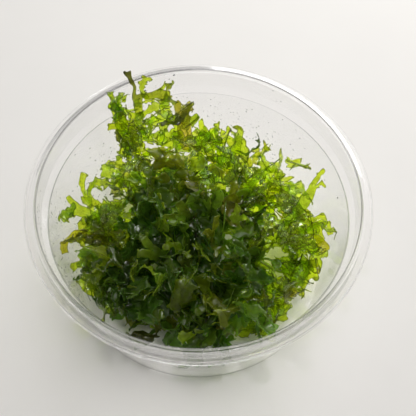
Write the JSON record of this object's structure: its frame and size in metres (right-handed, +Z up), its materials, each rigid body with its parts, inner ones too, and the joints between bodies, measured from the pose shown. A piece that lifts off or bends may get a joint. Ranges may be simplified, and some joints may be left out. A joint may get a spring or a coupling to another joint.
{
  "type": "tissue culture pellia moss in its cup",
  "caption": "Shallow round clear plastic culture cup, open at the top, filled with a tangled mound of flat forked green thalli, one of which rises past the lip at the back left.",
  "frame": {"origin": "middle of the cup's foot ring, on the plane that the cup stands on", "axes": "+Z up along the cup's axis, -Y to the front, where the picture was taken from, +X to the right"},
  "size_m": [0.1, 0.1, 0.0439],
  "materials": {
    "clear_plastic": "clear moulded plastic, glossy, with a little mist inside",
    "pellia_green": "wet dark green plant tissue, slightly see-through",
    "pellia_bright_green": "wet lime to olive green plant tissue, see-through at the edges"
  },
  "bodies": {
    "root": {"cup": "clear_plastic", "tuft_back_left": "pellia_green", "tuft_back": "pellia_green", "tuft_back_right": "pellia_green", "tuft_right_back": "pellia_green", "tuft_left": "pellia_green", "tuft_middle_left": "pellia_green", "tuft_middle": "pellia_green", "tuft_middle_right": "pellia_green", "tuft_right": "pellia_green", "tuft_front_left": "pellia_green", "tuft_middle_front": "pellia_green", "tuft_front": "pellia_green", "tuft_front_right": "pellia_green", "frond_tall": "pellia_bright_green", "frond_back_prong": "pellia_bright_green", "frond_olive": "pellia_bright_green", "frond_antler": "pellia_bright_green", "frond_left_prong": "pellia_bright_green", "frond_hook": "pellia_bright_green", "frond_small_hook": "pellia_bright_green", "frond_front_left": "pellia_bright_green", "frond_right": "pellia_bright_green", "frond_right_arch": "pellia_bright_green", "frond_right_low": "pellia_bright_green", "frond_right_hook": "pellia_bright_green", "frond_front_point": "pellia_bright_green", "frond_square": "pellia_bright_green", "frond_01": "pellia_bright_green", "frond_02": "pellia_bright_green", "frond_03": "pellia_bright_green", "frond_04": "pellia_bright_green", "frond_05": "pellia_bright_green", "frond_06": "pellia_bright_green", "frond_07": "pellia_bright_green", "frond_08": "pellia_bright_green", "frond_09": "pellia_bright_green", "frond_10": "pellia_bright_green", "frond_11": "pellia_bright_green", "frond_12": "pellia_bright_green", "frond_13": "pellia_bright_green", "frond_14": "pellia_bright_green", "frond_15": "pellia_bright_green", "frond_16": "pellia_bright_green", "frond_17": "pellia_bright_green", "frond_18": "pellia_bright_green", "frond_19": "pellia_bright_green", "frond_20": "pellia_bright_green", "frond_21": "pellia_bright_green", "frond_22": "pellia_bright_green", "frond_23": "pellia_bright_green", "frond_24": "pellia_bright_green", "frond_25": "pellia_bright_green", "frond_26": "pellia_bright_green", "frond_27": "pellia_bright_green", "frond_28": "pellia_bright_green", "frond_29": "pellia_bright_green", "frond_30": "pellia_bright_green"}
  },
  "joints": []
}
